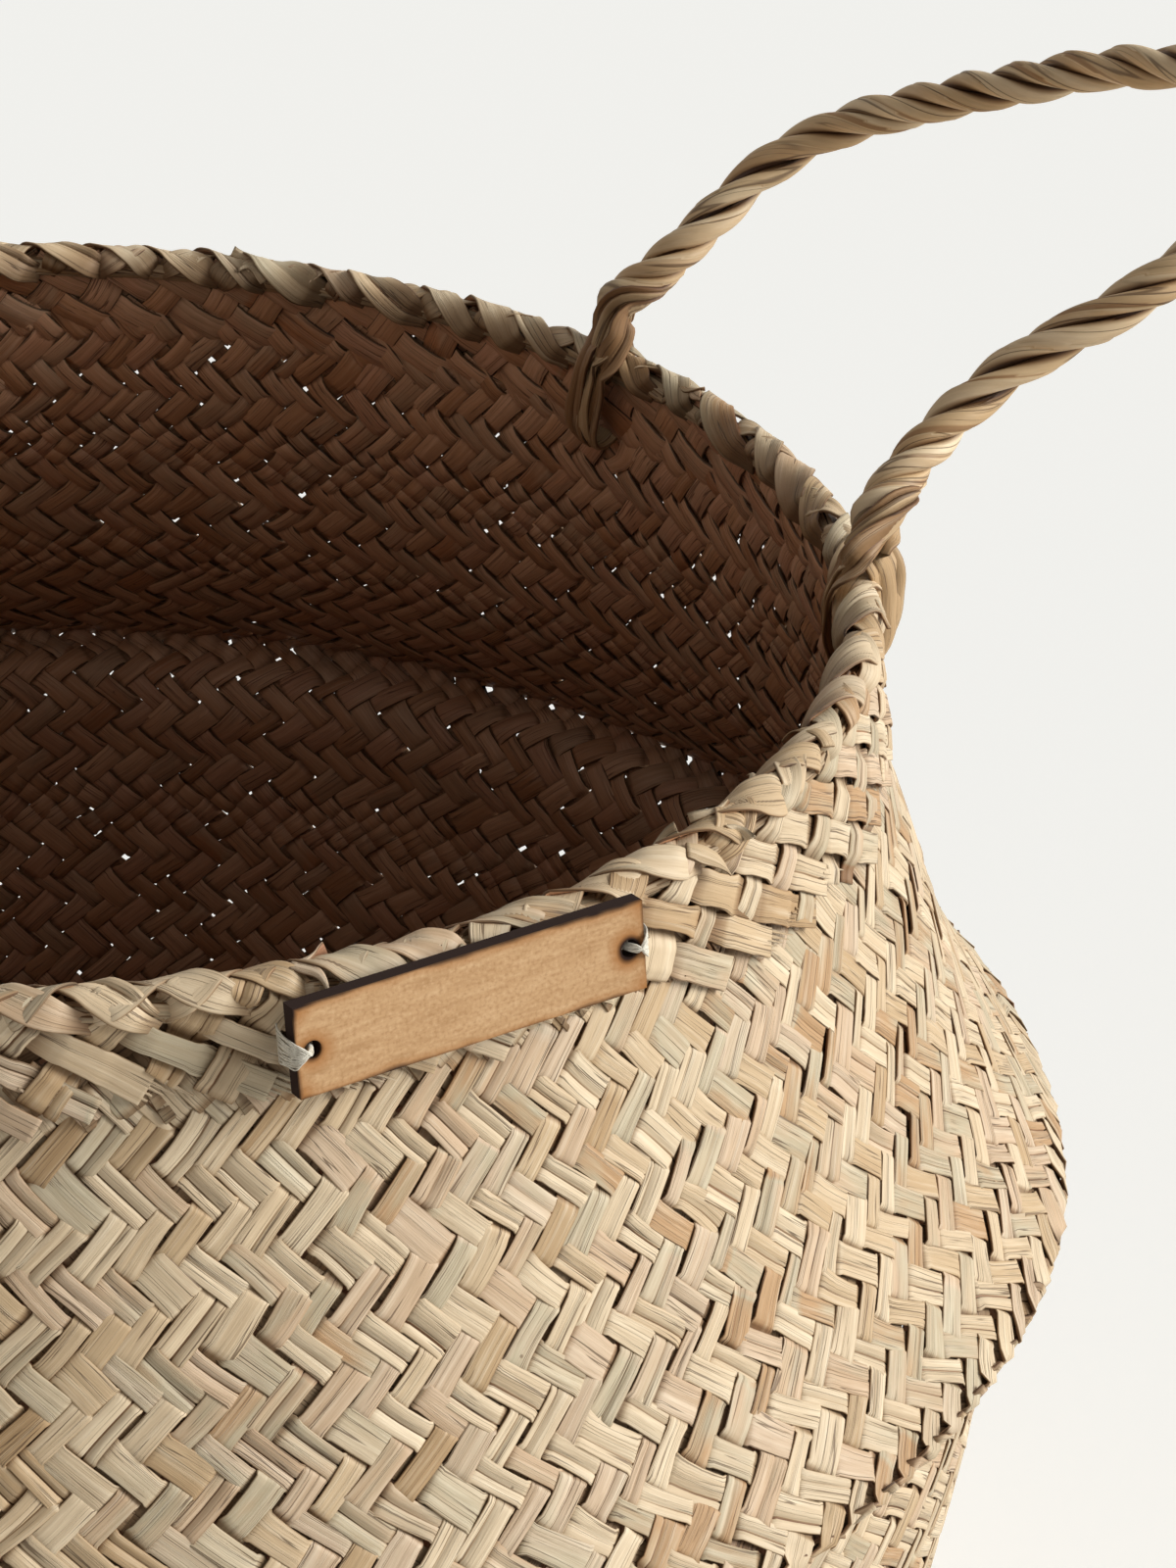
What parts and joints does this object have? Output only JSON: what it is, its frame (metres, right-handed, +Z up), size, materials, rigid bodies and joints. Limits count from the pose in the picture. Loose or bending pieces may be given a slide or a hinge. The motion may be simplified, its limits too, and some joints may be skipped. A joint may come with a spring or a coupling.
{
  "type": "belly basket",
  "caption": "Round plaited seagrass basket with a folded belly, a narrower open neck, a bare wooden tag and hinged rope handles.",
  "frame": {"origin": "middle of the flat underside", "axes": "+Z up through the mouth, +X towards the pictured handle, -Y towards the tag"},
  "size_m": [0.4686, 0.39, 0.3716],
  "materials": {
    "seagrass_weave": "natural dried leaf, satin, strand by strand from pale straw to tan and grey-green",
    "seagrass_border": "natural dried leaf, satin",
    "seagrass_rope": "laid dried leaf, satin",
    "tag_wood": "bare laser-cut board with dark edges",
    "tie_thread": "off-white cotton"
  },
  "bodies": {
    "basket": {"woven_body": "seagrass_weave", "turned_down_band": "seagrass_border", "rim_border": "seagrass_border", "handle_right_back_eye": "seagrass_rope", "handle_right_front_eye": "seagrass_rope", "handle_left_back_eye": "seagrass_rope", "handle_left_front_eye": "seagrass_rope", "tag_plate": "tag_wood", "tag_tie_left": "tie_thread", "tag_tie_right": "tie_thread"},
    "handle_right": {"handle_right_rope": "seagrass_rope"},
    "handle_left": {"handle_left_rope": "seagrass_rope"}
  },
  "joints": [
    {"name": "handle_right_swing", "type": "hinge", "parent": "basket", "child": "handle_right", "pos_m": [0.1372, 0, 0.3047], "axis": [0, 1, 0], "range_deg": [-144, 32]},
    {"name": "handle_left_swing", "type": "hinge", "parent": "basket", "child": "handle_left", "pos_m": [-0.1372, 0, 0.3047], "axis": [0, -1, 0], "range_deg": [-144, 32]}
  ]
}
